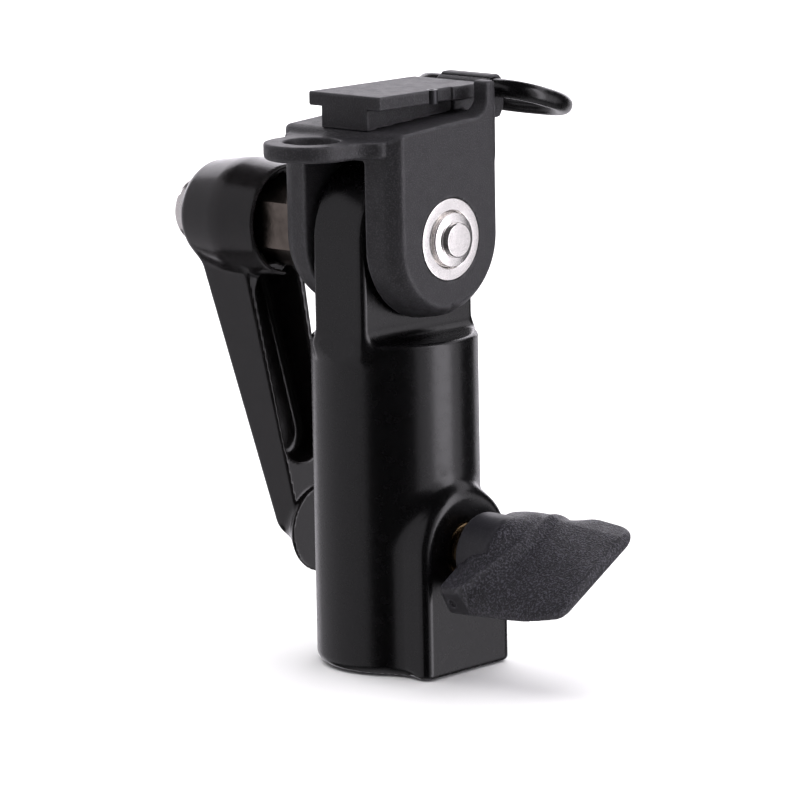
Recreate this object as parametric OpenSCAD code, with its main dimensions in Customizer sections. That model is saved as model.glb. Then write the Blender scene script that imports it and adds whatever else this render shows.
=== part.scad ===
// Umbrella swivel bracket for a light stand: a socket for a standard stud with a
// winged lock screw, a yoke that tilts on top of it, a lever that clamps the tilt,
// an umbrella hole at the front, an accessory rail on top and a swing ring behind.
// Origin: centre of the socket's mouth. X: pivot axis. -Y: front. +Z: up.

/* [Socket body] */
// Outside diameter of the round body
body_d = 30; // [29:0.5:33]
// Height of the tilt pivot above the socket's mouth
pivot_height = 77.7; // [76:0.1:84]
// Diameter of the stud that the socket takes
stud_d = 16; // [15.8:0.05:16.2]
// Radial play round the stud
stud_play = 0.15; // [0.05:0.05:0.3]
// Depth of the stud socket
socket_depth = 40; // [34:1:44]
// Thickness of the tongue between the ears
tongue_t = 12.4; // [11:0.1:12.4]
// Radius of the tongue round the pivot
tongue_r = 14.3; // [13:0.1:14.3]

/* [Lock screw] */
// Width of the boss that carries the lock screw
boss_w = 22.2; // [20:0.1:23]
// Reach of the boss from the body's axis
boss_reach = 17.2; // [16.5:0.1:18]
// Height of the lock screw above the mouth
screw_height = 22.1; // [20:0.1:26]
// Thread diameter of the lock screw
lock_screw_d = 10; // [8:0.5:10]
// Length of the knob's wing along the screw
wing_len = 27.4; // [20:0.1:32]
// Width of the wing at the end near the body
wing_w = 26.4; // [24:0.1:30]
// Thickness of the wing at its ridge
wing_t = 7; // [6:0.1:8]
// Turn of the wing from level
wing_turn = 30; // [0:1:180]

/* [Yoke] */
// Distance of the ears' outer faces from the middle
ear_face = 14.3; // [14:0.1:15]
// Radius of the ears at their inner edge
ear_r = 14.6; // [14:0.1:14.8]
// Height of the yoke's top at the front, above the pivot
plate_height = 19.7; // [19:0.1:21]
// Rise of the yoke's top towards the back, in degrees
plate_slope = 3.8; // [0:0.1:4]
// Height of the end stop above the pivot
stop_height = 27; // [25:0.1:28]

/* [Umbrella lug] */
// Radius of the lug's round end
lug_r = 8.5; // [8:0.1:10]
// Diameter of the umbrella hole
hole_d = 10; // [8:0.1:10.5]
// Distance of the umbrella hole in front of the pivot
lug_reach = 19.9; // [19.5:0.1:22]
// Thickness of the lug
lug_t = 3; // [2.5:0.1:4]

/* [Accessory rail] */
// Width across the rail's flange
rail_w = 17.4; // [16:0.1:18]
// Thickness of the flange
flange_t = 2.5; // [2:0.1:2.5]
// Width of the rail's web
web_w = 11.3; // [10:0.1:12]
// Height of the rail's top above the pivot
rail_height = 25.9; // [25.5:0.1:27]
// Length of the flange
rail_len = 27.2; // [24:0.1:27.6]

/* [Swing ring] */
// Wire diameter of the ring
wire_d = 3.4; // [3:0.1:3.4]
// Width between the centres of the ring's sides
ring_w = 26.4; // [26:0.1:30]
// Length from the hinge to the middle of the ring's far side
ring_len = 18.3; // [17:0.1:24]
// Droop of the ring at rest, in degrees below level
ring_droop = 17; // [0:1:30]

/* [Clamp lever] */
// Radius of the lever's hub at its open rim
hub_r = 10.2; // [10:0.1:11]
// Length of the arm from the pivot to the middle of its round tip
arm_len = 61.4; // [50:0.1:70]
// Tilt of the arm towards the back, in degrees
arm_tilt = 11.5; // [-30:0.5:30]
// Radius of the round tip
tip_r = 8.4; // [7:0.1:9]
// Size of the clamp nut across its flats
nut_af = 14.5; // [14:0.1:15]

/* [Hidden] */
$fn = 96;

eps = 0.01;           // overlap that joins solids of one casting
face_gap = 0.05;      // axial play between parts that turn on each other
running = 0.05;       // radial play of a turning fit
body_r = body_d / 2;
edge_r = 2.4;         // rounding of the body's lower edge
washer_t = 1;         // friction washers between tongue and ears
ear_in = tongue_t / 2 + washer_t + 2 * face_gap;
shoulder_z = pivot_height - 18;
crown_z = pivot_height - 15.4;
foot_r = 2.2;         // fillet at the tongue's foot
pin_r = 4;            // main shank of the pivot stud
head_r = 4.95;        // thick end of the pivot stud, in the right bush
bush_r = 7.3;         // right bush, outside
sleeve_r = 6.5;       // left bush, outside
tongue_bush_r = 6;
slot_top = 14.9;      // top of the slot between the ears, above the pivot
waist = 17.6;         // height where the yoke's straight sides end
plate_front = -11.7;
plate_back = 12.4;
eye_y = 20.6;         // hinge of the swing ring
eye_h = 24.3;
eye_w = 12.4;
screw_r = lock_screw_d / 2;

// top of the yoke's plate above the pivot, at a distance y behind it
function plate_top(y) = plate_height + (y - plate_front) * tan(plate_slope);
// points of an arc round c
function arc(c, r, a0, a1, n = 8) =
    [for (i = [0:n]) c + r * [cos(a0 + (a1 - a0) * i / n), sin(a0 + (a1 - a0) * i / n)]];

// extrudes a (y, z) outline along X from a to b
module slab(a, b, z = 0) {
    translate([a, 0, z]) rotate([90, 0, 90]) linear_extrude(b - a) children();
}

// a plain cylinder along X from a to b, at height z
module rod(r, a, b, z = pivot_height) {
    translate([a, 0, z]) rotate([0, 90, 0]) cylinder(r = r, h = b - a);
}

// a ring along X from a to b, round the pivot axis
module collar(r_out, r_in, a, b) {
    difference() {
        rod(r_out, a, b);
        rod(r_in, a - 1, b + 1);
    }
}

// turns an (r, distance) outline about the pivot axis, distances counted towards -X
module turned_left() {
    translate([0, 0, pivot_height]) rotate([0, -90, 0]) rotate_extrude() children();
}

// turns an (r, distance) outline about an axis along +X at height z
module turned_right(z = pivot_height) {
    translate([0, 0, z]) rotate([0, 90, 0]) rotate_extrude() children();
}

// ---------------------------------------------------------------- socket body

module barrel() {
    rotate_extrude() {
        square([body_r - edge_r, shoulder_z]);
        translate([0, edge_r]) square([body_r, shoulder_z - 2 * edge_r]);
        translate([body_r - edge_r, edge_r]) circle(edge_r);
        translate([body_r - edge_r, shoulder_z - edge_r]) circle(edge_r);
    }
}

module tongue() {
    intersection() {
        translate([0, 0, shoulder_z - edge_r]) cylinder(r = body_r, h = crown_z - shoulder_z + edge_r);
        translate([-tongue_t / 2, -body_r, 0]) cube([tongue_t, body_d, pivot_height]);
    }
    slab(-tongue_t / 2, tongue_t / 2) {
        translate([0, pivot_height]) circle(tongue_r);
        translate([-tongue_r, crown_z - 1]) square([2 * tongue_r, pivot_height - crown_z + 1]);
    }
}

// concave fillets where the tongue's sides meet the shoulders
module tongue_foot() {
    intersection() {
        cylinder(r = body_r - 0.2, h = pivot_height);
        for (side = [0, 1]) mirror([side, 0, 0]) difference() {
            translate([tongue_t / 2 - eps, -body_r, shoulder_z - eps])
                cube([foot_r, body_d, foot_r]);
            translate([tongue_t / 2 + foot_r, -body_r - 1, shoulder_z + foot_r])
                rotate([-90, 0, 0]) cylinder(r = foot_r, h = body_d + 2);
        }
    }
}

// arched block on the +X side, with round upright corners
module screw_boss() {
    corner = 1.8;
    half = boss_w / 2;
    intersection() {
        slab(0, boss_reach) {
            translate([-half, 0]) square([boss_w, screw_height]);
            translate([0, screw_height]) circle(half);
        }
        linear_extrude(screw_height + half + 1) {
            translate([0, -half]) square([boss_reach - corner, boss_w]);
            translate([0, corner - half]) square([boss_reach, boss_w - 2 * corner]);
            for (s = [-1, 1]) translate([boss_reach - corner, s * (half - corner)]) circle(corner);
        }
    }
}

module socket_body() {
    color("#1b1c1f") difference() {
        union() {
            barrel();
            tongue();
            tongue_foot();
            screw_boss();
        }
        translate([0, 0, -1]) cylinder(r = stud_d / 2 + stud_play, h = socket_depth + 1);
        rod(tongue_bush_r, -body_r, body_r);
        rod(screw_r, 0, boss_reach + 1, screw_height);
    }
}

module tongue_bush() {
    half = tongue_t / 2 - face_gap;
    color("#b9925a") collar(tongue_bush_r, pin_r + running, -half, half);
}

// ----------------------------------------------------------------- lock screw

pad_face = 8.4;       // pressure face of the pad, just outside the socket's bore
pad_t = 1.6;
neck_x = 20.6;        // end of the knob nearest the body
insert_r = 4;

module lock_screw() {
    start = pad_face + pad_t + face_gap;
    color("#b08a4a") difference() {
        union() {
            rod(screw_r - running, start, neck_x, screw_height);
            rod(5.9, boss_reach + 1.2, neck_x - eps, screw_height);
            rod(insert_r, neck_x - eps, neck_x + 12, screw_height);
        }
        rod(1.55, start - 1, start + 3, screw_height);
    }
}

module lock_pad() {
    color("#c8a464") {
        rod(4, pad_face, pad_face + pad_t, screw_height);
        rod(1.5, pad_face + pad_t - eps, pad_face + pad_t + 2.6, screw_height);
    }
}

// plan of the wing, x along the screw and y across the wing
module wing_plan() {
    near = wing_w / 2;
    hull() {
        translate([2.2, 2.4 - near]) circle(2.4, $fn = 32);
        translate([2.2, near - 2.4]) circle(2.4, $fn = 32);
        translate([wing_len - 3.6, near - 5.1]) circle(3, $fn = 32);
        translate([wing_len - 5, 5.1 - near]) circle(3.6, $fn = 32);
    }
}

// the wing seen along its width: it thins out from a ridge to its free end
module wing_side() {
    half = wing_t / 2;
    ridge = 9.5;
    polygon([
        [-0.4, -half * 0.75], [-0.4, half], [ridge, half * 1.1], [wing_len - 2, half * 0.7],
        [wing_len, half * 0.35], [wing_len, -half * 0.35], [wing_len - 2, -half * 0.75], [ridge, -half * 0.9]
    ]);
}

// the wing seen along the screw: the thumb's side is bevelled
module wing_end() {
    half = wing_t / 2;
    near = wing_w / 2;
    polygon([
        [-near - 1, -2 * half], [-near - 1, 2 * half], [0, 2 * half], [4, half * 0.9],
        [near - 1, -half * 0.15], [near + 1, -half], [near + 1, -2 * half]
    ]);
}

module lock_knob() {
    color("#202124") difference() {
        union() {
            turned_right(screw_height) polygon(concat(
                [[0, neck_x]],
                arc([6.7, neck_x + 0.8], 0.8, -90, 0),
                [[7.5, neck_x + 3.2], [7, neck_x + 8], [3, neck_x + 15], [0, neck_x + 15]]
            ));
            translate([neck_x, 0, screw_height]) rotate([wing_turn, 0, 0]) intersection() {
                translate([0, 0, -wing_t]) linear_extrude(2 * wing_t) wing_plan();
                translate([0, wing_w, 0]) rotate([90, 0, 0]) linear_extrude(2 * wing_w) wing_side();
                slab(-1, wing_len + 1) wing_end();
            }
        }
        rod(insert_r, neck_x - 1, neck_x + 12, screw_height);
    }
}

// ----------------------------------------------------------------------- yoke

// half of the outline shared by the ears' round ends and straight sides:
// distance from the pivot axis against distance from the middle
ear_profile = [
    [0, ear_in], [ear_r, ear_in], [ear_r - 0.9, ear_face - 1.7], [ear_r - 2.6, ear_face], [0, ear_face]
];

module ears() {
    for (side = [0, 1]) mirror([side, 0, 0]) {
        turned_right() polygon(ear_profile);
        translate([0, 0, pivot_height]) linear_extrude(waist) for (way = [0, 1])
            mirror([0, way]) polygon([for (p = ear_profile) [p[1], p[0]]]);
    }
}

// the bridge over the ears, with a sloping top
module bridge() {
    side = ear_r - 2.6;
    intersection() {
        slab(-ear_face, ear_face, pivot_height) polygon([
            [-ear_r, slot_top], [-ear_r, waist], [plate_front - 0.7, plate_height - 0.5],
            [plate_front, plate_height], [plate_back, plate_top(plate_back)],
            [ear_r - 0.9, waist], [ear_r - 0.9, slot_top]
        ]);
        translate([0, 0, pivot_height]) linear_extrude(plate_height + 5) polygon([
            [ear_face, -side], [ear_face, side], [ear_face - 1.7, ear_r - 0.9],
            [1.7 - ear_face, ear_r - 0.9], [-ear_face, side], [-ear_face, -side],
            [1.7 - ear_face, 0.9 - ear_r], [-ear_in, -ear_r], [ear_in, -ear_r],
            [ear_face - 1.7, 0.9 - ear_r]
        ]);
    }
}

// front lug, flared where it leaves the yoke
module umbrella_lug() {
    flare = 3.6;
    root = -ear_r + 2;
    h = plate_height - 1.2 - lug_t;
    translate([0, 0, pivot_height + h]) linear_extrude(lug_t) difference() {
        union() {
            translate([0, -lug_reach]) circle(lug_r);
            translate([-lug_r, -lug_reach]) square([2 * lug_r, lug_reach + root]);
            for (s = [-1, 1]) translate([s * lug_r - flare, -ear_r - flare])
                square([2 * flare, flare + 2]);
        }
        for (s = [-1, 1]) translate([s * (lug_r + flare), -ear_r - flare]) circle(flare);
        translate([0, -lug_reach]) circle(d = hole_d);
    }
}

// stop beside the back of the rail, with a fillet in front of it
module end_stop() {
    front = 9.3;
    inner = 10.6;
    outer = 13.9;
    fillet = 2;
    base = plate_top(front);
    slab(inner, outer, pivot_height) polygon([
        [front, waist], [front, stop_height - 0.4], [front + 0.4, stop_height],
        [plate_back - 0.7, stop_height], [plate_back + 0.1, stop_height - 1.2],
        [plate_back + 0.4, waist]
    ]);
    slab(inner, outer, pivot_height) difference() {
        translate([front - fillet, base - 0.3]) square([fillet + eps, fillet + 0.3]);
        translate([front - fillet, base + fillet]) circle(fillet);
    }
}

// lug behind the rail that carries the ring's hinge bar
module ring_eye() {
    slab(-eye_w / 2, eye_w / 2, pivot_height) polygon([
        [plate_back - 2, 18.8], [22.4, 18.8], [23.4, 20.6], [23.4, 25.4], [22.2, 26.6],
        [20.2, 26.6], [18.6, 25.4], [18.2, 23.3], [plate_back + 0.1, 23.3],
        [plate_back + 0.1, 20.6], [plate_back - 2, 20.6]
    ]);
}

rail_screw_y = [-6, 5];
rail_screw_r = 1.75;

module yoke() {
    color("#2b2c2f") difference() {
        union() {
            ears();
            bridge();
            umbrella_lug();
            end_stop();
            ring_eye();
        }
        rod(bush_r, 0, ear_face + 1);
        rod(sleeve_r, -ear_face - 1, 0);
        translate([0, eye_y, 0]) rod(wire_d / 2 + running, -eye_w, eye_w, pivot_height + eye_h);
        for (y = rail_screw_y) translate([0, y, pivot_height]) {
            cylinder(r = rail_screw_r + 0.1, h = 30);
            translate([0, 0, slot_top - 1]) cylinder(r = 3.1, h = 3);
        }
    }
}

// ----------------------------------------------------------------- pivot parts

module right_bush() {
    mouth = 0.6;
    color("#c9cacb") difference() {
        collar(bush_r, head_r, ear_in, ear_face);
        turned_right() polygon([
            [0, ear_face - mouth], [head_r, ear_face - mouth], [head_r + 0.25, ear_face + eps],
            [0, ear_face + eps]
        ]);
    }
}

module left_bush() {
    color("#8f8f8c") collar(sleeve_r, pin_r + running, -ear_face, -ear_in);
}

// one friction washer on each side of the tongue
module friction_washers() {
    inner = tongue_t / 2 + face_gap;
    color("#6d6c66") for (side = [0, 1]) mirror([side, 0, 0])
        collar(11, pin_r + running, inner, inner + washer_t);
}

stud_left = -29;

module pivot_stud() {
    color("#d4d5d6") turned_right() polygon([
        [0, stud_left], [pin_r - 0.6, stud_left], [pin_r, stud_left + 0.6], [pin_r, ear_in + 0.4],
        [head_r, ear_in + 1.4], [head_r, ear_face - 0.5], [4.8, ear_face - 0.3],
        [4.8, ear_face + 0.7], [4.6, ear_face + 0.9], [3.4, ear_face + 0.9],
        [3.1, ear_face + 1.1], [3.1, ear_face + 1.8], [2.9, ear_face + 2], [0, ear_face + 2]
    ]);
}

thrust_left = -ear_face - 1.3;

module thrust_washer() {
    color("#8a8a86") collar(8.5, pin_r + running, thrust_left, -ear_face - face_gap);
}

// ------------------------------------------------------------------------ rail

// flange on a web whose foot follows the yoke's sloping top
module accessory_rail() {
    under = rail_height - flange_t;
    pin_y = 2.2;
    color("#2f3033") difference() {
        union() {
            translate([-rail_w / 2, plate_front, pivot_height + under])
                cube([rail_w, rail_len, flange_t]);
            slab(-web_w / 2, web_w / 2, pivot_height) polygon([
                [plate_front, plate_height], [plate_back, plate_top(plate_back)],
                [plate_back, under + eps], [plate_front, under + eps]
            ]);
        }
        for (y = rail_screw_y) translate([0, y, pivot_height])
            cylinder(r = rail_screw_r, h = under + 0.9);
        translate([rail_w / 2 - 0.5, pin_y, pivot_height + under - 1]) cylinder(r = 1.1, h = flange_t + 2);
        translate([rail_w / 2 - 0.5, pin_y + 1.6, pivot_height + under - 1])
            cube([1, 3.4, flange_t + 2]);
    }
}

// two screws that come up from the slot into the rail's web
module rail_screws() {
    color("#9a9a9a") for (y = rail_screw_y) translate([0, y, pivot_height]) difference() {
        union() {
            translate([0, 0, slot_top + 0.1]) cylinder(r = 2.9, h = 1.9);
            translate([0, 0, slot_top + 1]) cylinder(r = rail_screw_r - 0.02, h = 8.2);
        }
        translate([0, 0, slot_top - 1]) cylinder(r = 1.2, h = 2.2, $fn = 6);
    }
}

// spring pin in the flange's right edge, the stop of an accessory's catch
module rail_pin() {
    under = rail_height - flange_t;
    color("#3a3a3c") translate([rail_w / 2 - 0.5, 2.2, pivot_height + under]) difference() {
        cylinder(r = 1.08, h = flange_t);
        translate([0, 0, -1]) cylinder(r = 0.5, h = flange_t + 2);
    }
}

// ------------------------------------------------------------------------ ring

// quarter of a wire bend of radius r round c, starting at angle a
module bend(c, r, a) {
    translate([c[0], c[1], 0]) rotate([0, 0, a]) rotate_extrude(angle = 90)
        translate([r, 0]) circle(d = wire_d, $fn = 32);
}

module wire(from, length, along) {
    translate([from[0], from[1], 0]) rotate(along == "x" ? [0, 90, 0] : [-90, 0, 0])
        cylinder(d = wire_d, h = length, $fn = 32);
}

// closed wire ring: a straight hinge bar, two short sides and a wide round end
module swing_ring() {
    near = 5;
    far = 11;
    half = ring_w / 2;
    translate([0, eye_y, pivot_height + eye_h]) rotate([-ring_droop, 0, 0]) color("#141415") {
        wire([near - half, 0], ring_w - 2 * near, "x");
        wire([far - half, ring_len], ring_w - 2 * far, "x");
        for (s = [-1, 1]) wire([s * half, near], ring_len - near - far, "y");
        bend([half - near, near], near, -90);
        bend([near - half, near], near, 180);
        bend([half - far, ring_len - far], far, 0);
        bend([far - half, ring_len - far], far, 90);
    }
}

// ----------------------------------------------------------------- clamp lever

rim = 25.5;           // open rim of the hub, distance to the left of the middle
web_near = 27.4;      // web with the hexagonal socket
web_far = 31.4;
hub_end = 46;
spring_room = 6.9;    // bore that holds the spring and the screw's head
boss_r = 4.9;         // slim end of the nut
nut_end = 36.3;
lever_pull = 4.3;     // travel that frees the lever from the nut
arm_face = 31.9;      // inner face of the arm, distance to the left of the middle

module hexagon(across) {
    circle(d = across / cos(30), $fn = 6);
}

// hexagonal nut on the stud; its far end takes the lever's screw
module clamp_nut() {
    near = -thrust_left + face_gap;
    color("#a39a90") difference() {
        union() {
            translate([-near, 0, pivot_height]) rotate([0, -90, 0])
                linear_extrude(web_far + 0.1 - near) hexagon(nut_af);
            rod(boss_r, -nut_end, -web_far);
        }
        rod(pin_r + running, stud_left - 0.2, 0);
        rod(2.5, -nut_end - 1, stud_left);
    }
}

// outside of the hub: a slightly barrelled cup with a round outer end
module hub_shape() {
    turned_left() polygon(concat(
        [[0, rim], [hub_r - 0.4, rim], [hub_r, rim + 0.4], [hub_r + 0.7, 35.3], [9.7, 43.5]],
        arc([7.3, hub_end - 2.4], 2.4, 8, 90, 6),
        [[0, hub_end]]
    ));
}

arm_outer = 44.3;     // outer face of the arm at the hub's axis
arm_slope = 0.1;      // how much it comes in per millimetre down the arm
pocket_end = 48;

// wedge seen from the side: x against distance down the arm
module arm_side(near, outer, start, end) {
    polygon([
        [-near, -start], [-outer + arm_slope * start, -start],
        [-outer + arm_slope * end, -end], [-near, -end]
    ]);
}

// the arm seen along X: it narrows down its length
module arm_front(half_top, narrowing, end) {
    half_end = half_top - narrowing * (end - 4);
    translate([0, -end + half_end]) circle(half_end);
    polygon([
        [-half_top, -4], [half_top, -4], [half_end, half_end - end], [-half_end, half_end - end]
    ]);
}

// the wedge given as a child, trimmed to the arm's outline
module arm_block(half_top, narrowing, end) {
    intersection() {
        translate([0, 15, 0]) rotate([90, 0, 0]) linear_extrude(30) children();
        slab(-hub_end, 0) arm_front(half_top, narrowing, end);
    }
}

module clamp_lever() {
    color("#1a1b1d") difference() {
        union() {
            hub_shape();
            translate([0, 0, pivot_height]) rotate([arm_tilt, 0, 0]) difference() {
                union() {
                    arm_block(7.6, 0.045, arm_len + 2)
                        arm_side(arm_face, arm_outer, 4, arm_len + 2);
                    translate([-arm_face - 2.6, 0, -arm_len]) rotate([0, 90, 0])
                        cylinder(r1 = tip_r - 3, r2 = tip_r, h = 3.6);
                }
                arm_block(5.6, 0.017, pocket_end)
                    arm_side(arm_face - 1, arm_outer - 2, hub_r + 0.9, pocket_end);
            }
        }
        collar_room();
        rod(spring_room, -hub_end - 1, -web_far);
        translate([-web_near + 1, 0, pivot_height]) rotate([0, -90, 0])
            linear_extrude(web_far - web_near + 2) for (a = [0, 30]) rotate(a) hexagon(nut_af + 0.2);
    }
}

// open recess of the hub on the yoke's side
module collar_room() {
    turned_left() polygon([
        [0, rim - 1], [hub_r - 0.8, rim - 1], [hub_r - 0.8, web_near], [0, web_near]
    ]);
}

// spring drawn at its length with the lever pulled out
module lever_spring() {
    coil_r = 5.9;
    wire_r = 0.45;
    turns = 5;
    steps = 20;
    first = web_far + lever_pull + 0.9;
    last = 43.2;
    sides = 6;
    points = [for (i = [0:turns * steps], j = [0:sides - 1])
        let (a = 360 * i / steps, b = 360 * j / sides, r = coil_r + wire_r * cos(b))
        [-first - (last - first) * i / (turns * steps) + wire_r * sin(b), r * cos(a), r * sin(a)]];
    walls = [for (i = [0:turns * steps - 1], j = [0:sides - 1])
        let (k = (j + 1) % sides)
        [i * sides + j, i * sides + k, (i + 1) * sides + k, (i + 1) * sides + j]];
    first_cap = [for (j = [sides - 1:-1:0]) j];
    last_cap = [for (j = [0:sides - 1]) turns * steps * sides + j];
    color("#9b9b9b") translate([0, 0, pivot_height])
        polyhedron(points, concat(walls, [first_cap, last_cap]));
}

head_under = 44.4;    // underside of the lever screw's head

module spring_washer() {
    color("#8f8f8f") collar(6.5, 2.6, -head_under + face_gap, -head_under + 0.55);
}

// slotted, domed screw that holds the lever on the nut
module lever_screw() {
    color("#d8d8d6") difference() {
        union() {
            rod(2.48, -head_under - eps, stud_left - 1.4);
            turned_left() polygon(concat(
                [[0, head_under], [6.3, head_under], [6.3, 47.6]],
                [for (i = [1:6]) [6.3 * cos(i * 15), 47.6 + 2.6 * sin(i * 15)]]
            ));
        }
        translate([-hub_end - 6, 0, pivot_height]) rotate([-35, 0, 0])
            translate([-3, -8, -0.7]) cube([6, 16, 1.4]);
    }
}

socket_body();
tongue_bush();
lock_screw();
lock_pad();
lock_knob();
yoke();
right_bush();
left_bush();
friction_washers();
pivot_stud();
thrust_washer();
accessory_rail();
rail_screws();
rail_pin();
swing_ring();
clamp_nut();
clamp_lever();
lever_spring();
spring_washer();
lever_screw();
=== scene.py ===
import math

import bpy
import numpy as np
from mathutils import Matrix, Vector


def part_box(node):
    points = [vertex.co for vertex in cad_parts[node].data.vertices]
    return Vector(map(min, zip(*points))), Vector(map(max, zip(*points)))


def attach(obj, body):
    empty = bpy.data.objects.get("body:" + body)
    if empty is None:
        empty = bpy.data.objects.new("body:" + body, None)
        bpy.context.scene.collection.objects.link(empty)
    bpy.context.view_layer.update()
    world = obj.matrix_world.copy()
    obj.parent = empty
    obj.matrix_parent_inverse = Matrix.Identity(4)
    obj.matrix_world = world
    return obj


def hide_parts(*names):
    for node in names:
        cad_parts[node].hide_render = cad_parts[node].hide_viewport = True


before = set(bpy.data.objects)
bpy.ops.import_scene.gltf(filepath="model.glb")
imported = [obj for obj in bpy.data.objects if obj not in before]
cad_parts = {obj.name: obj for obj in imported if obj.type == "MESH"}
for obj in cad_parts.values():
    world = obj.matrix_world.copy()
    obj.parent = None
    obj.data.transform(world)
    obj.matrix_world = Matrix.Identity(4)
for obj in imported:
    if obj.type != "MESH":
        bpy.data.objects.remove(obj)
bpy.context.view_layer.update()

# Lengths below are in millimetres in the row frame, unless a comment says metres; MM turns them
# into Blender's metres. x, y, z are the row frame's axes, and h is the height above the pivot.
MM = 0.001


def middle_height(node):
    low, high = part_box(node)
    return (low.z + high.z) / 2 / MM


PIV = middle_height("pivot_stud")    # height of the tilt pivot
SCR = middle_height("lock_screw")    # height of the lock screw


# ------------------------------------------------------------------ camera
AZIMUTH, ELEVATION, ROLL = math.radians(43.701), math.radians(10.627), math.radians(-1.086)
DISTANCE, SIDE_SHIFT, AIM_HEIGHT = 0.85084, 0.000808, 0.04724    # metres
SENSOR, LENS = 36, 213.3585


def make_camera():
    """Camera with a long lens; returns its right and the level direction towards it."""
    back = Vector((math.sin(AZIMUTH) * math.cos(ELEVATION),
                   -math.cos(AZIMUTH) * math.cos(ELEVATION), math.sin(ELEVATION)))
    right = Vector((math.cos(AZIMUTH), math.sin(AZIMUTH), 0))
    up = back.cross(right)
    rolled_right = math.cos(ROLL) * right + math.sin(ROLL) * up
    rolled_up = -math.sin(ROLL) * right + math.cos(ROLL) * up
    data = bpy.data.cameras.new("view")
    data.sensor_width = SENSOR
    data.lens = LENS
    data.clip_start, data.clip_end = 0.01, 50
    cam = bpy.data.objects.new("view", data)
    bpy.context.scene.collection.objects.link(cam)
    place = Vector((0, 0, AIM_HEIGHT)) + right * SIDE_SHIFT + back * DISTANCE
    turn = Matrix((rolled_right, rolled_up, back)).transposed()
    cam.matrix_world = Matrix.Translation(place) @ turn.to_4x4()
    bpy.context.scene.camera = cam
    return right, Vector((back.x, back.y, 0)).normalized()


RIGHT, TOWARDS = make_camera()


# ------------------------------------------------------------------ distance fields
def cut(a, b, r):
    """Intersection with the edge rounded to radius r."""
    return np.minimum(np.maximum(a, b), -r) + np.hypot(np.maximum(r + a, 0), np.maximum(r + b, 0))


def join(a, b, r):
    """Union with a fillet of radius r."""
    return -cut(-a, -b, r)


def away(a, b, r):
    """a without b, with the rim rounded to radius r."""
    return cut(a, -b, r)


def stadium(p, q, q0, q1, r):
    """Distance to a band of half-width r round the segment q0..q1 of the q axis."""
    return np.hypot(p, q - np.clip(q, q0, q1)) - r


def slab(v, low, high):
    """Distance to the space between two parallel planes."""
    return np.maximum(low - v, v - high)


def plane(p, q, point, normal):
    """Distance to a plane seen edge-on in the (p, q) plane, through that point."""
    return normal[0] * (p - point[0]) + normal[1] * (q - point[1])


def block(x, y, z, low, high, r):
    """Box from one corner to the other, its edges rounded to r."""
    f = cut(slab(x, low[0], high[0]), slab(y, low[1], high[1]), r)
    return cut(f, slab(z, low[2], high[2]), r)


def ramp(v, a, b):
    """Smooth step from 0 at a to 1 at b."""
    t = np.clip((v - a) / (b - a), 0, 1)
    return t * t * (3 - 2 * t)


def polygon(p, q, pts, r):
    """Signed distance to a polygon in the (p, q) plane, its convex corners rounded to r."""
    pts = np.array(pts, float)
    best = np.full(np.shape(p), 1e9)
    inside = np.zeros(np.shape(p), bool)
    for a, b in zip(pts, np.roll(pts, -1, 0)):
        e, wp, wq = b - a, p - a[0], q - a[1]
        t = np.clip((wp * e[0] + wq * e[1]) / (e @ e), 0, 1)
        best = np.minimum(best, np.hypot(wp - t * e[0], wq - t * e[1]))
        up = (a[1] <= q) != (b[1] <= q)
        side = (wp * e[1] - wq * e[0]) / (e[1] if abs(e[1]) > 1e-12 else 1e-12)
        inside ^= up & (side < 0)
    return np.where(inside, -best, best) - r


def hexagon(p, q, across, turn):
    """Distance to a hexagon of that width across its flats."""
    best = np.full(np.shape(p), -1e9)
    for i in range(6):
        a = math.radians(turn + 60 * i)
        best = np.maximum(best, p * math.cos(a) + q * math.sin(a) - across / 2)
    return best


CORNERS = [(i, j, k) for i in (0, 1) for j in (0, 1) for k in (0, 1)]
EDGES = [(a, b) for a in CORNERS for b in CORNERS
         if a < b and sum(abs(m - n) for m, n in zip(a, b)) == 1]
NORMAL_STEP = 0.06      # reach of the differences that give a normal
PULL_STEP = 0.02        # and of those that pull a point onto the surface
PULLS = 3               # times that each point is pulled
LEAST_SLOPE = 0.25      # lowest squared slope of a field that a pull reckons with
TINY = 1e-9             # keeps values off zero


def gradient(f, p, h):
    """Central differences of f over a reach of h, at each point of p."""
    g = [f(*(p + d).T) - f(*(p - d).T) for d in np.eye(3) * h]
    return np.stack(g, 1) / (2 * h)


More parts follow.
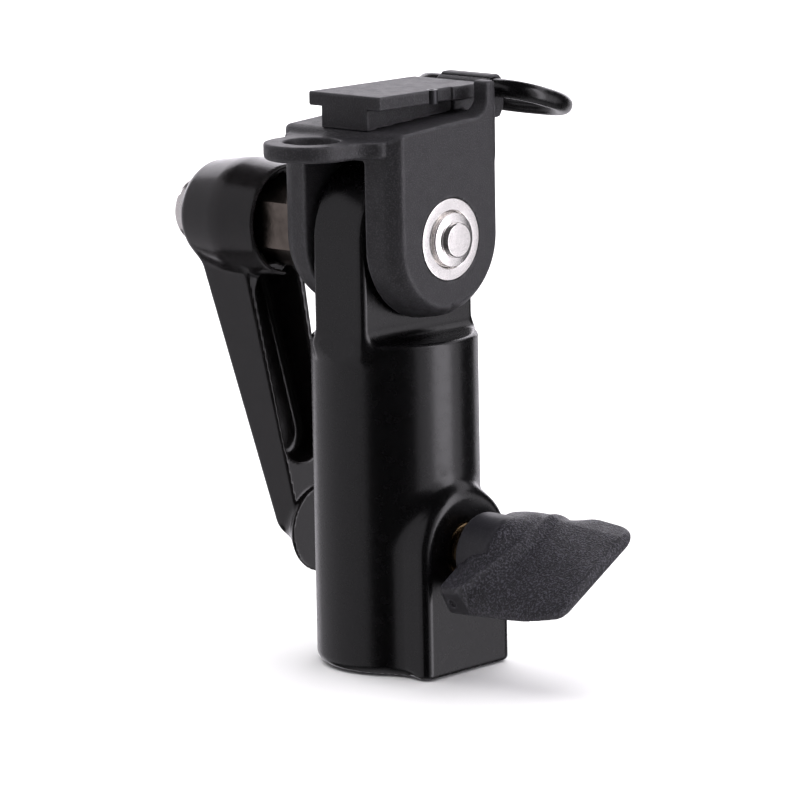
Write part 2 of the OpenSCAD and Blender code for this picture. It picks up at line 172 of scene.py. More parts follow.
def surface(f, low, high, cell):
    """Closed quad mesh of f = 0 by surface nets, its points pulled onto the surface."""
    margin = 1.5 * cell
    low = np.array(low, float) - margin
    size = np.ceil((np.array(high, float) + margin - low) / cell).astype(int) + 1
    axes = [low[i] + cell * np.arange(size[i]) for i in range(3)]
    v = f(*np.meshgrid(*axes, indexing="ij"))
    v = np.where(np.abs(v) < TINY, TINY, v)
    solid = v < 0
    n = np.array(v.shape) - 1
    count = sum(solid[i : i + n[0], j : j + n[1], k : k + n[2]].astype(int) for i, j, k in CORNERS)
    cells = np.argwhere((count > 0) & (count < 8))
    index = np.full(n, -1)
    index[tuple(cells.T)] = np.arange(len(cells))
    total, hits = np.zeros((len(cells), 3)), np.zeros(len(cells))
    for a, b in EDGES:
        a, b = np.array(a), np.array(b)
        va, vb = v[tuple((cells + a).T)], v[tuple((cells + b).T)]
        m = (va < 0) != (vb < 0)
        t = np.where(m, va / np.where(m, va - vb, 1), 0)
        total += np.where(m[:, None], a + t[:, None] * (b - a), 0)
        hits += m
    points = low + cell * (cells + total / hits[:, None])
    for _ in range(PULLS):
        g = gradient(f, points, PULL_STEP)
        s = f(*points.T) / np.maximum((g * g).sum(1), LEAST_SLOPE)
        points -= np.clip(s, -cell, cell)[:, None] * g
    quads = []
    for ax in range(3):
        o1, o2 = [i for i in range(3) if i != ax]
        a = solid[tuple(slice(0, -1) if i == ax else slice(1, -1) for i in range(3))]
        b = solid[tuple(slice(1, None) if i == ax else slice(1, -1) for i in range(3))]
        at = np.argwhere(a != b)
        first = a[tuple(at.T)]
        at[:, o1] += 1
        at[:, o2] += 1
        ring = []
        for d1, d2 in ((-1, -1), (0, -1), (0, 0), (-1, 0)):
            c = at.copy()
            c[:, o1] += d1
            c[:, o2] += d2
            ring.append(index[tuple(c.T)])
        q = np.stack(ring, 1)
        flip = ~first if ax != 1 else first
        q[flip] = q[flip][:, ::-1]
        quads.append(q)
    return points, np.concatenate(quads)


# Paler convex edges: wear on most pieces, and on the knob also a painted highlight along the wing's
# ridge bead.
BEND_REACH = 0.5        # how far round a point its bend is measured
BEND_GAIN, BEND_START = 0.55, 0.25


def edge_bend_of(f, points):
    """How sharply the surface bends outwards at each point, from 0 to 1."""
    around = sum(f(*(points + s * d).T) for d in np.eye(3) * BEND_REACH for s in (-1, 1))
    bend = (around - 6 * f(*points.T)) / BEND_REACH / BEND_REACH
    return np.clip(bend * BEND_GAIN - BEND_START, 0, 1)


def add_object(name, mesh, body, nodes, material):
    """Smooth-shaded piece that rides on its body and stands for its CAD nodes."""
    obj = bpy.data.objects.new(name, mesh)
    bpy.context.scene.collection.objects.link(obj)
    mesh.materials.append(material)
    mesh.polygons.foreach_set("use_smooth", np.ones(len(mesh.polygons), bool))
    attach(obj, body)
    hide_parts(*nodes)
    return obj


def cast(name, f, low, high, cell, body, nodes, material, masks=None):
    """A piece meshed from its distance field between the corners low and high.

    It gets the field's own normals, an attribute of how sharply its edges bend, which the finishes turn
    into wear and, on the knob, partly a painted highlight, and one for each mask.
    """
    points, quads = surface(f, low, high, cell)
    mesh = bpy.data.meshes.new(name)
    mesh.from_pydata((points * MM).tolist(), [], quads.tolist())
    mesh.update()
    g = gradient(f, points, NORMAL_STEP)
    g /= np.maximum(np.linalg.norm(g, axis=1), TINY)[:, None]
    values = {"wear_and_sheen": edge_bend_of(f, points)}
    for key, mask in (masks or {}).items():
        values[key] = np.clip(mask(*points.T), 0, 1)
    for key, val in values.items():
        layer = mesh.attributes.new(key, "FLOAT", "POINT")
        layer.data.foreach_set("value", val.astype(np.float32))
    obj = add_object(name, mesh, body, nodes, material)
    mesh.normals_split_custom_set_from_vertices(g.tolist())
    return obj


# ------------------------------------------------------------------ materials
NOISE_BAND = (0.3, 0.7)     # where most of a noise's values lie
FLECK_BAND = (0.5, 0.66)    # part of the grain's noise that shows as pale flecks
FLECK_GAIN = 4.5            # how much paler a fleck is
WEAR_AND_SHEEN_BAND = (0.35, 0.65)    # part of the patches' noise that fades an edge's pale colour of wear and, on the knob, painted highlight
PATCH_SIZE = 2.2            # size of the patches along an edge where its wear and painted highlight fade
BUMP_HEIGHT = 0.05          # height of a grain of strength 1
BRUSHED = (1, 1, 12)        # squeezes a noise along Z into fine streaks


def material(name, colour, rough, metal=0.0, vary=0.15, vary_size=3.0, grain=0.0, grain_size=0.3,
             rough_vary=0.08, wear_and_sheen=0.0, wear_and_sheen_colour=(0.2, 0.2, 0.2), brushed=False, mask=None,
             specular=0.5, fleck=0.0):
    """Procedural finish: colour and roughness drift, fine grain as bump, and paler edges for wear,
    which on the knob is partly a painted highlight.

    Sizes are in millimetres; mask names the attribute that says where the grain shows.
    """
    m = bpy.data.materials.new(name)
    m.use_nodes = True
    tree = m.node_tree
    new, link = tree.nodes.new, tree.links.new
    shader = tree.nodes["Principled BSDF"]
    shader.inputs["Metallic"].default_value = metal
    shader.inputs["Specular IOR Level"].default_value = specular
    where = new("ShaderNodeTexCoord")

    def noise(size, detail=3.0, stretch=None):
        n = new("ShaderNodeTexNoise")
        n.inputs["Scale"].default_value = 1 / (size * MM)
        n.inputs["Detail"].default_value = detail
        if stretch:
            mapping = new("ShaderNodeMapping")
            mapping.inputs["Scale"].default_value = stretch
            link(where.outputs["Object"], mapping.inputs["Vector"])
            link(mapping.outputs["Vector"], n.inputs["Vector"])
        else:
            link(where.outputs["Object"], n.inputs["Vector"])
        return n.outputs["Fac"]

    def spread(value, band, a, b):
        n = new("ShaderNodeMapRange")
        n.inputs["From Min"].default_value = band[0]
        n.inputs["From Max"].default_value = band[1]
        n.inputs["To Min"].default_value = a
        n.inputs["To Max"].default_value = b
        link(value, n.inputs["Value"])
        return n.outputs["Result"]

    def mixed(fac, a, b):
        n = new("ShaderNodeMix")
        n.data_type = "RGBA"
        link(fac, n.inputs["Factor"])
        for socket, value in ((n.inputs["A"], a), (n.inputs["B"], b)):
            if isinstance(value, tuple):
                socket.default_value = (*value, 1)
            else:
                link(value, socket)
        return n.outputs["Result"]

    def attribute(key):
        n = new("ShaderNodeAttribute")
        n.attribute_name = key
        return n.outputs["Fac"]

    def times(a, b):
        n = new("ShaderNodeMath")
        n.operation = "MULTIPLY"
        link(a, n.inputs[0])
        if isinstance(b, float):
            n.inputs[1].default_value = b
        else:
            link(b, n.inputs[1])
        return n.outputs["Value"]

    dark = tuple(c * (1 - vary) for c in colour)
    light = tuple(min(c * (1 + vary), 1) for c in colour)
    stretch = BRUSHED if brushed else None
    base = mixed(spread(noise(vary_size, stretch=stretch), NOISE_BAND, 0, 1), dark, light)
    fine = noise(grain_size, 2.0) if grain else None
    if fleck:
        spots = spread(fine, FLECK_BAND, 0, fleck)
        if mask:
            spots = times(spots, attribute(mask))
        base = mixed(spots, base, tuple(min(c * FLECK_GAIN, 1) for c in colour))
    # paler convex edges: wear, and on the knob partly a painted highlight along the ridge bead
    if wear_and_sheen:
        patches = spread(noise(PATCH_SIZE, 4.0), WEAR_AND_SHEEN_BAND, wear_and_sheen / 4, wear_and_sheen)
        base = mixed(times(attribute("wear_and_sheen"), patches), base, wear_and_sheen_colour)
    link(base, shader.inputs["Base Color"])
    uneven = noise(vary_size * 0.6, 4.0)
    roughness = spread(uneven, NOISE_BAND, rough - rough_vary, rough + rough_vary)
    link(roughness, shader.inputs["Roughness"])
    if grain:
        bump = new("ShaderNodeBump")
        bump.inputs["Distance"].default_value = BUMP_HEIGHT * MM
        height = times(fine, grain)
        if mask:
            height = times(height, attribute(mask))
        bump.inputs["Strength"].default_value = 1.0
        link(height, bump.inputs["Height"])
        link(bump.outputs["Normal"], shader.inputs["Normal"])
    return m


GLOSS = material("gloss_black_paint", (0.0015, 0.0014, 0.0017), 0.26, vary=0.3, rough_vary=0.03,
                 grain=0.22, grain_size=0.9, wear_and_sheen=0.3, wear_and_sheen_colour=(0.02, 0.02, 0.022))
SATIN = material("satin_black_paint", (0.0042, 0.0036, 0.0038), 0.22, vary=0.25, rough_vary=0.04,
                 grain=0.25, grain_size=0.5, wear_and_sheen=0.35, wear_and_sheen_colour=(0.04, 0.037, 0.038))
MATT = material("matt_black_cast", (0.0155, 0.0149, 0.0169), 0.5, vary=0.12, rough_vary=0.05,
                grain=1.8, grain_size=0.26, wear_and_sheen=0.4, wear_and_sheen_colour=(0.09, 0.088, 0.095), fleck=0.35,
                specular=0.42)
# Its pale edge colour is partly real wear on the wing's rims and partly a painted highlight along the
# ridge bead.
PLASTIC = material("grained_plastic", (0.0135, 0.013, 0.0162), 0.5, vary=0.1, rough_vary=0.06,
                   grain=8.0, grain_size=0.32, wear_and_sheen=0.5, wear_and_sheen_colour=(0.085, 0.083, 0.092),
                   mask="grain", fleck=1.4)
STEEL = material("turned_steel", (0.86, 0.84, 0.82), 0.24, metal=1.0, vary=0.04, rough_vary=0.05,
                 grain=0.2, grain_size=0.35, brushed=True)
PLATED = material("plated_steel", (0.2, 0.172, 0.15), 0.38, metal=1.0, vary=0.14, rough_vary=0.1,
                  grain=1.0, grain_size=0.5)
DARK = material("blackened_steel", (0.03, 0.03, 0.033), 0.42, metal=0.6, vary=0.2, grain=0.8)
# The brass is darkened as painted shade, standing for the deep shadow round the lock screw's collar.
BRASS = material("shade_darkened_brass", (0.2, 0.14, 0.075), 0.26, metal=1.0, vary=0.25, grain=0.4)


# ------------------------------------------------------------------ socket body
BARREL_R, BARREL_TOP = 15.0, PIV - 18
TONGUE_R, TONGUE_HALF = 14.3, 6.2
STEP_IN = 0.7                   # from the barrel's flank to the tongue's
BOSS_R, BOSS_REACH = 11.1, 17.2
BORE_R, BORE_DEPTH = 8.15, 40
PIVOT_HOLE_R, SCREW_HOLE_R = 6.0, 5.0


def body_field(x, y, z):
    rho = np.hypot(x, y)
    barrel = cut(rho - BARREL_R, z - BARREL_TOP, 0.8)
    tongue = cut(stadium(y, z, 40, PIV, TONGUE_R), np.abs(x) - TONGUE_HALF, 1.1)
    tongue = cut(tongue, BARREL_TOP - 2.5 - z, 2.0)
    f = join(barrel, tongue, 2.2)
    # this keeps the fillet between them from bulging past the flanks
    f = np.maximum(f, np.abs(y) - BARREL_R + STEP_IN * ramp(z, BARREL_TOP - 1, BARREL_TOP + 3))
    boss = cut(stadium(y, z, -30, SCR, BOSS_R), x - BOSS_REACH, 1.8)
    boss = np.maximum(boss, -x)
    f = join(f, boss, 1.2 + 1.6 * ramp(z, SCR + 3, SCR + 11))
    f = cut(f, -z, 2.0 - 1.1 * ramp(x, 12, 15.5))
    f = away(f, np.maximum(rho - BORE_R, z - BORE_DEPTH), 0.5)
    f = np.maximum(f, -(np.hypot(y, z - PIV) - PIVOT_HOLE_R))
    return away(f, np.maximum(np.hypot(y, z - SCR) - SCREW_HOLE_R, 4 - x), 0.5)


cast("cast_body", body_field, (-15, -15, 0), (17.3, 15, PIV + 14.4), 0.55,
     "body", ["socket_body"], GLOSS)


# ------------------------------------------------------------------ yoke
# A factor such as 0.986 turns a measure across a sloping face into a distance.
EAR_IN, EAR_FACE, EAR_R = 7.3, 14.3, 14.6
SLOT_TOP = 14.9
PLATE_TOP, PLATE_FRONT = 19.7, -11.7
PLATE_SLOPE = math.tan(math.radians(3.8))
LUG_Y, LUG_R, LUG_LOW, LUG_TOP = -19.9, 8.5, 15.5, 18.5
UMBRELLA_HOLE_R = 5.0
STOP_LOW, STOP_HIGH = (10.9, 9.9, 15), (EAR_FACE, 12.9, 27.0)
EYE_OUTLINE = [(10.5, 19.4), (22.0, 19.4), (22.8, 20.8), (22.8, 25.1), (21.9, 26.0),
               (20.4, 26.0), (19.1, 25.2), (18.6, 22.7), (10.5, 22.7)]    # (y, h)
EYE_HALF, HINGE_Y, HINGE_H, HINGE_R = 6.2, 20.6, 24.3, 1.75
RIGHT_BUSH_R, LEFT_BUSH_R = 7.3, 6.5
RAIL_SCREW_Y, RAIL_SCREW_R = (-6, 5), 3.1


def yoke_field(x, y, z):
    h = z - PIV
    t = np.abs(x)
    rho = np.where(h < 0, np.hypot(y, h), np.abs(y))
    side = ((rho - EAR_R) + 0.17 * (np.maximum(t, EAR_IN) - EAR_IN)) * 0.986
    bevel = ((rho - 12.0) + (t - EAR_FACE)) * 0.7071
    f = cut(cut(side, bevel, 1.0), t - EAR_FACE, 0.3)
    f = cut(f, plane(y, h, (-14.6, 17.6), (-0.588, 0.809)), 0.4)
    f = cut(f, plane(y, h, (12.4, 21.3), (0.944, 0.331)), 0.5)
    f = cut(f, (h - PLATE_TOP - (y - PLATE_FRONT) * PLATE_SLOPE) * 0.998, 0.45)
    f = away(f, cut(t - EAR_IN, h - SLOT_TOP, 0.5), 0.35)
    # umbrella lug with its flared root
    plan = join(stadium(x, y, LUG_Y, -10, LUG_R), -EAR_R - y, 5.0)
    plan = np.maximum(cut(plan, t - 12.0, 0.8), y + 8)
    lug = cut(cut(plan, h - LUG_TOP, 0.35), LUG_LOW - h, 0.9)
    f = join(f, lug, 0.35)
    hole = np.hypot(x, y - LUG_Y) - UMBRELLA_HOLE_R
    f = away(f, np.maximum(hole, slab(h, 14, 20)), 0.3)
    # stop beside the rail, flush with the ear
    stop = block(x, y, h, STOP_LOW, STOP_HIGH, 0.4)
    stop = cut(stop, plane(y, h, (12.2, 27.0), (0.94, 0.34)), 0.4)
    f = np.maximum(join(f, stop, 2.8), t - EAR_FACE)
    f = np.where(y > 0, cut(np.maximum(f, side), bevel, 0.6), f)
    # lug that carries the ring
    eye = cut(polygon(y, h, EYE_OUTLINE, 0.6), t - EYE_HALF, 0.5)
    f = join(f, eye, 0.6)
    f = away(f, np.hypot(y - HINGE_Y, h - HINGE_H) - HINGE_R, 0.2)
    # seats of the two bushes, and holes of the rail's screws
    bush = np.hypot(y, h) - np.where(x > 0, RIGHT_BUSH_R, LEFT_BUSH_R)
    f = away(f, np.maximum(bush, 7 - t), 0.12)
    for hole_y in RAIL_SCREW_Y:
        f = np.maximum(f, -np.maximum(np.hypot(x, y - hole_y) - RAIL_SCREW_R, h - 16.9))
    return f


cast("cast_yoke", yoke_field, (-14.4, -28.5, PIV - 14.7), (14.4, 23.6, PIV + 27.1), 0.42,
     "yoke", ["yoke"], MATT)


# ------------------------------------------------------------------ accessory rail
FLANGE_LOW, FLANGE_HIGH = (-8.7, PLATE_FRONT, 23.4), (8.7, 15.5, 25.9)
WEB_LOW, WEB_HIGH = (-5.65, PLATE_FRONT, 18), (5.65, 12.4, 24.5)
RECESS_LOW, RECESS_HIGH = (8.15, 2.2, 22), (10, 7.2, 27)
DETENT_X, DETENT_Y, DETENT_R = 8.2, 2.2, 1.1


def rail_field(x, y, z):
    h = z - PIV
    flange = block(x, y, h, FLANGE_LOW, FLANGE_HIGH, 0.3)
    web = block(x, y, h, WEB_LOW, WEB_HIGH, 0.25)
    f = np.minimum(flange, web)
    f = np.maximum(f, PLATE_TOP + (y - PLATE_FRONT) * PLATE_SLOPE - h)
    detent = np.hypot(x - DETENT_X, y - DETENT_Y) - DETENT_R
    f = away(f, np.maximum(detent, slab(h, 22, 27)), 0.12)
    return away(f, block(x, y, h, RECESS_LOW, RECESS_HIGH, 0.2), 0.15)


cast("rail_profile", rail_field, (-8.8, -11.8, PIV + 19.6), (8.8, 15.6, PIV + 26), 0.3,
     "yoke", ["accessory_rail"], MATT)


# ------------------------------------------------------------------ clamp lever
# n runs outwards along the pivot, s down the arm from it and w across the arm.
TILT = math.radians(11.5)
HUB_IN, HUB_IN_R, CREASE, CREASE_R, HUB_END = 25.5, 10.2, 35.3, 10.9, 46.0
ARM_IN, ARM_OUT, ARM_LENGTH, ARM_SLOPE = 31.9, 44.3, 58.5, 0.1
TIP_IN, TIP_OUT, TIP_S, TIP_R = 30.9, 36.5, 61.4, 8.4
DRIVE_ACROSS = 14.7                     # across the flats of the 12-point drive
POCKET_FROM, POCKET_TO = 14, 43


def lever_field(x, y, z):
    h, n = z - PIV, -x
    s = y * math.sin(TILT) - h * math.cos(TILT)
    w = y * math.cos(TILT) + h * math.sin(TILT)
    rho = np.hypot(y, h)
    near = (rho - HUB_IN_R - (n - HUB_IN) * 0.0714) * 0.997
    far = (rho - CREASE_R + (n - CREASE) * 0.146) * 0.989
    hub = cut(cut(cut(near, far, 0.3), n - HUB_END, 2.6), HUB_IN - n, 0.6)
    along = np.clip(s, 0, ARM_LENGTH)
    band = np.hypot(w, s - along) - (7.6 - 0.045 * (along - 4))
    arm = cut(cut(band, (n - ARM_OUT + ARM_SLOPE * s) * 0.995, 1.0), ARM_IN - n, 0.5)
    arm = np.maximum(arm, -s)
    r = TIP_R - (n - TIP_IN) * 0.8333
    tip = cut((np.hypot(w, s - TIP_S) - r) * 0.768, TIP_IN - n, 0.45)
    tip = np.maximum(tip, n - TIP_OUT)
    f = join(join(hub, arm, 1.2), tip, 1.0)
    # pocket in the arm's inner face, open to the hub
    deep = np.clip(s, POCKET_FROM, POCKET_TO)
    pocket = np.hypot(w, s - deep) - (5.6 - 0.017 * (deep - 4))
    pocket = np.minimum(pocket, cut(np.abs(w) - 5.4, slab(s, 11.6, 20), 1.2))
    pocket = cut(pocket, n - 42.3 + ARM_SLOPE * s, 1.6)
    f = away(f, pocket, 0.55)
    # mouth, 12-point drive and the bore of the slotted button
    f = away(f, np.maximum(rho - 9.4, n - 27.4), 0.4)
    drive = np.minimum(hexagon(y, h, DRIVE_ACROSS, 30), hexagon(y, h, DRIVE_ACROSS, 0))
    f = away(f, np.maximum(drive, slab(n, 26, 32)), 0.3)
    return away(f, np.maximum(rho - 6.9, 31.4 - n), 0.5)


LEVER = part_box("clamp_lever")
cast("lever_casting", lever_field, LEVER[0] / MM, LEVER[1] / MM, 0.5,
     "lever", ["clamp_lever"], SATIN)


# ------------------------------------------------------------------ wing knob
# a runs outwards along the lock screw, w along the wing and t through its thickness.
TURN = math.radians(30)
KNOB_START = 20.6
WING_ENDS, WING_REACH = (-13.3, 12.8), (0.2, 27.3)
NECK_R, SHAFT_R, SHAFT_DEPTH = 7.35, 4.0, 8


def knob_place(x, y, z):
    up = z - SCR
    return (x - KNOB_START, y * math.cos(TURN) + up * math.sin(TURN),
            -y * math.sin(TURN) + up * math.cos(TURN))


def wing_top(a, w):
    """Height of the thumb's side of the wing: a hump over the neck, a ridge, then the thin free end."""
    ridge = 12.8 - 0.026 * (w - 3) ** 2
    held = np.minimum(a, ridge)
    hump = np.exp(-((w - 1) / np.where(w < 1, 8.0, 6.0)) ** 2)
    rise = 4.0 * ramp(a, -0.5, 5) - 3.3 * ramp(a, 7, 13.8) - 0.7 * ramp(a, 12, 24)
    top = 2.5 + 0.08 * held + rise * hump
    shoulder = 0.1 * np.maximum(w - 6.5, 0) ** 2 * (1 - ramp(a, 9, 19))
    bevel = 0.3 * np.maximum(w - 8.4, 0) * ramp(a, 6, 14)
    step = (0.5 + 0.15 * np.maximum(-9.5 - w, 0) ** 2) * ramp(a, ridge + 0.1, ridge + 1.3)
    bead = 0.42 * np.exp(-((a - ridge + 0.5) / 0.65) ** 2)
    return top + bead - shoulder - bevel - step - (0.12 + 0.004 * np.maximum(-w, 0)) * (a - held)


def knob_field(x, y, z):
    a, w, t = knob_place(x, y, z)
    r = np.hypot(w, t)
    plan = cut(slab(w, *WING_ENDS), slab(a, *WING_REACH), 2.0 + 2.6 * ramp(a, 8, 18))
    under = -3.3 + 0.07 * np.clip(a, 0, 27)
    blade = cut(cut(plan, (t - wing_top(a, w)) * 0.8, 0.9), under - t, 1.0)
    neck = cut(cut(r - NECK_R, -a, 0.7), a - 8.0, 1.5)
    cone = (r - 7.4 + (a - 5.0) * 0.52) * 0.88
    cone = np.maximum(cut(cone, 4.0 - a, 1.0), t - 1)
    f = join(np.minimum(blade, neck), cone, 1.2)
    pip = np.hypot(a - 3.2, t + 0.2) - 0.75
    f = away(f, np.maximum(pip, w + 12.9), 0.12)
    return np.maximum(f, -np.maximum(r - SHAFT_R, a - SHAFT_DEPTH))


def knob_grain(x, y, z):
    """Where the moulded grain shows: the neck and the flat on the wing's end are smooth."""
    a, w, t = knob_place(x, y, z)
    on_neck = (np.hypot(w, t) < 7.42) & (a < 7.6)
    flat_end = (w < -12.8) & (a < 6.6)
    return np.where(on_neck | flat_end, 0.1, 1.0)


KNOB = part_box("lock_knob")
cast("wing_knob", knob_field, KNOB[0] / MM, KNOB[1] / MM, 0.36,
     "knob", ["lock_knob"], PLASTIC, {"grain": knob_grain})


# ------------------------------------------------------------------ turned pieces
NEARLY_STRAIGHT = math.radians(176)
CORNER_STEPS = 5


def filleted(points, r):
    """Outline with each corner rounded to r, or as much as its sides allow."""
    points = [Vector(p) for p in points]
    out = [points[0]]
    for a, b, c in zip(points, points[1:], points[2:]):
        u, v = a - b, c - b
        angle = u.angle(v)
        if angle > NEARLY_STRAIGHT:
            out.append(b)
            continue
        reach = min(r / math.tan(angle / 2), u.length * 0.45, v.length * 0.45)
        p, q = b + u.normalized() * reach, b + v.normalized() * reach
        for i in range(CORNER_STEPS + 1):
            k = i / CORNER_STEPS
            out.append(p * (1 - k) ** 2 + b * 2 * k * (1 - k) + q * k * k)
    return out + [points[-1]]


LATHE_SIDES = 128


def lathe(name, outline, r, body, nodes, finish, height):
    """Turns (distance along X, radius) points about the X axis at that height."""
    mesh = bpy.data.meshes.new(name)
    verts, faces, rings = [], [], []
    for d, rad in filleted(outline, r):
        x = d * MM
        if rad < 1e-6:
            rings.append([len(verts)])
            verts.append((x, 0, height * MM))
            continue
        rings.append(list(range(len(verts), len(verts) + LATHE_SIDES)))
        for i in range(LATHE_SIDES):
            a = 2 * math.pi * i / LATHE_SIDES
            verts.append((x, rad * math.cos(a) * MM, (height + rad * math.sin(a)) * MM))
    pairs = list(zip(rings, rings[1:]))
    if len(rings[0]) > 1:
        pairs.append((rings[-1], rings[0]))
    for p, q in pairs:
        for i in range(LATHE_SIDES):
            j = (i + 1) % LATHE_SIDES
            quad = [p[i % len(p)], p[j % len(p)], q[j % len(q)], q[i % len(q)]]
            quad = list(dict.fromkeys(quad))
            if len(quad) > 2:
                faces.append(quad[::-1])
    mesh.from_pydata(verts, [], faces)
    mesh.update()
    add_object(name, mesh, body, nodes, finish)


lathe("ear_bush", [(7.35, 4.96), (7.35, 7.29), (14.3, 7.29), (14.3, 5.25), (13.7, 4.96)], 0.15,
      "yoke", ["right_bush"], STEEL, PIV)
lathe("stud_pin", [(-29, 0), (-29, 3.4), (-28.4, 4), (7.7, 4), (8.7, 4.94), (13.8, 4.94),
                   (14.05, 4.8), (15.05, 4.8), (15.2, 3.5), (15.2, 3.1), (16.1, 3.1),
                   (16.3, 2.9), (16.3, 0)], 0.12,
      "yoke", ["pivot_stud"], STEEL, PIV)
# its brass is darkened as painted shade
lathe("screw_shaft", [(10.05, 0), (10.05, 4.9), (17.0, 4.9), (17.3, 4.2), (18.9, 4.2),
                      (19.0, 5.88), (20.58, 5.88), (20.59, 4.0), (28.6, 4.0), (28.6, 0)], 0.1,
      "knob", ["lock_screw"], BRASS, SCR)


# ------------------------------------------------------------------ nut and slotted button
NUT_IN, NUT_OUT, NUT_ACROSS = 15.66, 31.5, 14.5
COLLAR_END, COLLAR_R = 36.3, 4.9
STUD_HOLE_R, STUD_HOLE_END, BUTTON_HOLE_R = 4.05, 29.2, 2.5


def nut_field(x, y, z):
    h, n = z - PIV, -x
    rho = np.hypot(y, h)
    f = cut(hexagon(y, h, NUT_ACROSS, 0), slab(n, NUT_IN, NUT_OUT), 0.3)
    f = cut(f, (rho - 8.05 - (n - NUT_IN) * 1.7) * 0.5, 0.1)
    f = np.minimum(f, cut(rho - COLLAR_R, slab(n, 20, COLLAR_END), 0.3))
    f = np.maximum(f, -np.maximum(rho - STUD_HOLE_R, n - STUD_HOLE_END))
    return np.maximum(f, -(rho - BUTTON_HOLE_R))


cast("hex_nut", nut_field, (-36.3, -8.4, PIV - 8.4), (-15.6, 8.4, PIV + 8.4), 0.35,
     "nut", ["clamp_nut"], PLATED)


HEAD_R, HEAD_IN, DOME_START, DOME_RISE = 6.3, 44.4, 48.16, 2.0
SLOT_TURN, SLOT_HALF, SLOT_FLOOR = math.radians(38), 0.7, 49.0
SHANK_R, SHANK_IN = 2.48, 30.4


def button_field(x, y, z):
    h, n = z - PIV, -x
    rho = np.hypot(y, h)
    dome = (rho / HEAD_R) ** 5 + (np.maximum(n - DOME_START, 0) / DOME_RISE) ** 5
    head = cut(3.8 * (dome ** 0.2 - 1), HEAD_IN - n, 0.2)
    up = y * math.sin(SLOT_TURN) + h * math.cos(SLOT_TURN)
    head = away(head, cut(np.abs(up) - SLOT_HALF, SLOT_FLOOR - n, 0.1), 0.15)
    shank = np.maximum(rho - SHANK_R, slab(n, SHANK_IN, 45))
    return np.minimum(head, shank)


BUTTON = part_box("lever_screw")
cast("slotted_button", button_field, BUTTON[0] / MM, BUTTON[1] / MM, 0.25,
     "nut", ["lever_screw"], STEEL)


# ------------------------------------------------------------------ swing ring
RING_HALF, RING_LENGTH = 13.2, 18.3         # half width and length of the wire's centre line
NEAR_BEND, FAR_BEND, BEND_STEPS = 5, 11, 14
WIRE_R, WIRE_SIDES = 1.7, 28
DROOP = math.radians(-17)


def ring_path():
    """Closed centre line of the ring in its own plane: (x, distance from the hinge)."""
    near, far = RING_HALF - NEAR_BEND, RING_HALF - FAR_BEND
    reach = RING_LENGTH - FAR_BEND
    bends = ((near, NEAR_BEND, NEAR_BEND, -90), (far, reach, FAR_BEND, 0),
             (-far, reach, FAR_BEND, 90), (-near, NEAR_BEND, NEAR_BEND, 180))
    pts = []
    for cx, cy, r, start in bends:
        for i in range(BEND_STEPS + 1):
            a = math.radians(start + 90 * i / BEND_STEPS)
            pts.append((cx + r * math.cos(a), cy + r * math.sin(a)))
    return np.array(pts)


def wire_ring():
    path = ring_path()
    spot = np.stack([path[:, 0], HINGE_Y + path[:, 1] * math.cos(DROOP),
                     PIV + HINGE_H + path[:, 1] * math.sin(DROOP)], 1)
    ahead = np.roll(spot, -1, 0) - np.roll(spot, 1, 0)
    ahead /= np.linalg.norm(ahead, axis=1)[:, None]
    normal = np.array([0, -math.sin(DROOP), math.cos(DROOP)])
    across = np.cross(normal, ahead)
    a = 2 * np.pi * np.arange(WIRE_SIDES) / WIRE_SIDES
    verts = (spot[:, None] + WIRE_R * (np.cos(a)[None, :, None] * normal
             + np.sin(a)[None, :, None] * across[:, None])).reshape(-1, 3)
    faces = []
    for i in range(len(spot)):
        for j in range(WIRE_SIDES):
            here, after = i * WIRE_SIDES, (i + 1) % len(spot) * WIRE_SIDES
            m = (j + 1) % WIRE_SIDES
            faces.append((here + j, here + m, after + m, after + j))
    mesh = bpy.data.meshes.new("wire_ring")
    mesh.from_pydata((verts * MM).tolist(), [], faces)
    mesh.update()
    add_object("wire_ring", mesh, "ring", ["swing_ring"], GLOSS)


wire_ring()


# ------------------------------------------------------------------ pieces kept from the CAD
# the brass pieces share the brass that is darkened as painted shade
KEPT = {"tongue_bush": BRASS, "lock_pad": BRASS, "left_bush": PLATED, "friction_washers": PLATED,
        "thrust_washer": PLATED, "rail_screws": PLATED, "rail_pin": DARK, "lever_spring": STEEL,
        "spring_washer": PLATED}
for node, finish in KEPT.items():
    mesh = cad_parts[node].data
    mesh.materials.clear()
    mesh.materials.append(finish)


# ------------------------------------------------------------------ stage
# Places and sizes are in metres from here on.
TINT = (1.0, 0.965, 1.03)
FLOOR_HALF, FLOOR_DROP = 6.0, 0.0002
FLOOR_GREY, FLOOR_ROUGH, FLOOR_NOISE = (0.86, 0.9), 0.9, 30


def make_floor():
    """Pale floor just under the object; reflections don't see it."""
    m = bpy.data.materials.new("pale_floor")
    m.use_nodes = True
    tree = m.node_tree
    shader = tree.nodes["Principled BSDF"]
    shader.inputs["Specular IOR Level"].default_value = 0.0
    noise = tree.nodes.new("ShaderNodeTexNoise")
    noise.inputs["Scale"].default_value = FLOOR_NOISE
    grey = tree.nodes.new("ShaderNodeMapRange")
    grey.inputs["To Min"].default_value = FLOOR_GREY[0]
    grey.inputs["To Max"].default_value = FLOOR_GREY[1]
    tree.links.new(noise.outputs["Fac"], grey.inputs["Value"])
    tree.links.new(grey.outputs["Result"], shader.inputs["Base Color"])
    shader.inputs["Roughness"].default_value = FLOOR_ROUGH
    mesh = bpy.data.meshes.new("floor")
    s = FLOOR_HALF
    mesh.from_pydata([(-s, -s, 0), (s, -s, 0), (s, s, 0), (-s, s, 0)], [], [(0, 1, 2, 3)])
    obj = bpy.data.objects.new("floor", mesh)
    mesh.materials.append(m)
    obj.location.z = -FLOOR_DROP
    bpy.context.scene.collection.objects.link(obj)
    obj.visible_glossy = False


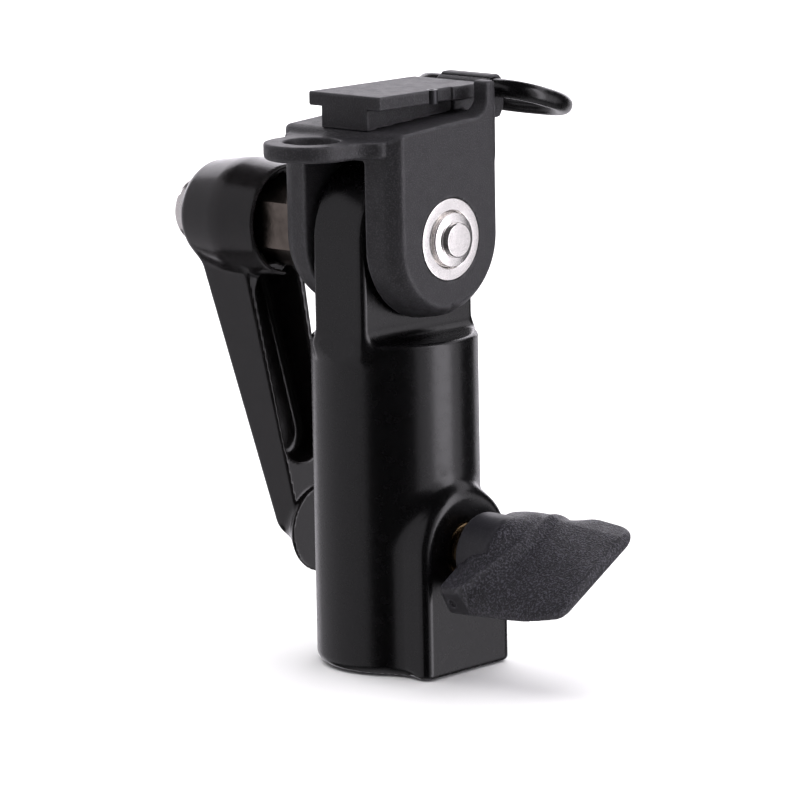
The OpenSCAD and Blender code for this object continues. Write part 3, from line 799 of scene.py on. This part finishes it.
def softbox(name, beta, distance, z, width, height, radiance):
    """Panel that faces the object, beta degrees round from the camera towards the right."""
    b = math.radians(beta)
    way = TOWARDS * math.cos(b) + RIGHT * math.sin(b)
    middle = Vector((0, 0, z))
    data = bpy.data.lights.new(name, "AREA")
    data.shape = "RECTANGLE"
    data.size, data.size_y = width, height
    data.energy = radiance * math.pi * width * height
    data.color = TINT
    lamp = bpy.data.objects.new(name, data)
    lamp.location = way * distance + middle
    lamp.rotation_euler = (lamp.location - middle).to_track_quat("Z", "Y").to_euler()
    lamp.visible_camera = False
    bpy.context.scene.collection.objects.link(lamp)


def top_light(size, z, behind, radiance, colour):
    """Square panel overhead, behind the object as the camera sees it, kept out of reflections."""
    data = bpy.data.lights.new("top", "AREA")
    data.size = size
    data.energy = radiance * math.pi * size * size
    data.color = colour
    lamp = bpy.data.objects.new("top", data)
    lamp.location = Vector((0, 0, z)) - TOWARDS * behind
    lamp.visible_camera = False
    lamp.visible_glossy = False
    bpy.context.scene.collection.objects.link(lamp)


make_floor()
top_light(size=5.4, z=2.4, behind=1.8, radiance=2.6, colour=(1.0, 0.99, 1.0))
for name, beta, distance, z, width, height, radiance in (
        ("left", -90, 1.0, 0.1, 2.3, 2.0, 0.5),
        ("right_wide", 58, 1.0, 0.1, 1.1, 2.0, 0.75),
        ("right_core", 68, 0.98, 0.1, 0.5, 2.0, 2.6),
        ("right_side", 94, 1.0, 0.1, 0.25, 2.0, 0.9),
        ("right_high", 122, 1.2, 1.15, 1.1, 0.8, 1.1),
        ("back", -174, 1.3, 0.6, 1.9, 1.1, 2.2),
        ("rim", 180, 1.3, -0.4, 2.1, 1.0, 0.9)):
    softbox(name, beta, distance, z, width, height, radiance)


# Strength of the world all round, and straight down. It changes from one to the other while the
# direction's height falls from BOUNCE_FROM to BOUNCE_FULL.
ROOM, BOUNCE = 0.03, 0.5
BOUNCE_FROM, BOUNCE_FULL = -0.7, -1.0


def make_world():
    """Dim room; light bounced up from below the object shows only in its undersides."""
    world = bpy.data.worlds.new("studio")
    world.use_nodes = True
    tree = world.node_tree
    way = tree.nodes.new("ShaderNodeTexCoord")
    split = tree.nodes.new("ShaderNodeSeparateXYZ")
    below = tree.nodes.new("ShaderNodeMapRange")
    below.inputs["From Min"].default_value = BOUNCE_FROM
    below.inputs["From Max"].default_value = BOUNCE_FULL
    below.inputs["To Min"].default_value = ROOM
    below.inputs["To Max"].default_value = BOUNCE
    tree.links.new(way.outputs["Generated"], split.inputs["Vector"])
    tree.links.new(split.outputs["Z"], below.inputs["Value"])
    tree.links.new(below.outputs["Result"], tree.nodes["Background"].inputs["Strength"])
    tree.nodes["Background"].inputs["Color"].default_value = (*TINT, 1)
    bpy.context.scene.world = world


make_world()
bpy.context.scene.view_settings.view_transform = "Standard"
